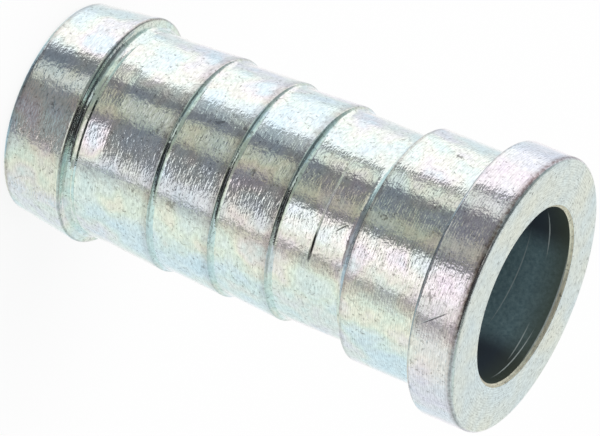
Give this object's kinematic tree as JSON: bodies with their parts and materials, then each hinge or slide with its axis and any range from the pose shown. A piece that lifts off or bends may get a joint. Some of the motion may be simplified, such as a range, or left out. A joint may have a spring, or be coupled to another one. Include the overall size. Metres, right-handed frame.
{
  "type": "hose nipple",
  "caption": "Straight turned hose nipple: flat-sealing collar at one end, stop neck, barbed barrel and an enlarged tapered nose, with a plain bore right through.",
  "frame": {"origin": "centre of the nose's end face, on which the nipple stands", "axes": "+Z along the bore, from the nose to the collar's sealing face; X and Y are free, because the part is turned"},
  "size_m": [0.024, 0.024, 0.0449],
  "materials": {
    "zinc_plated_steel": "turned steel with bright, faintly iridescent zinc plating"
  },
  "bodies": {
    "root": {"hose_nipple": "zinc_plated_steel"}
  },
  "joints": []
}
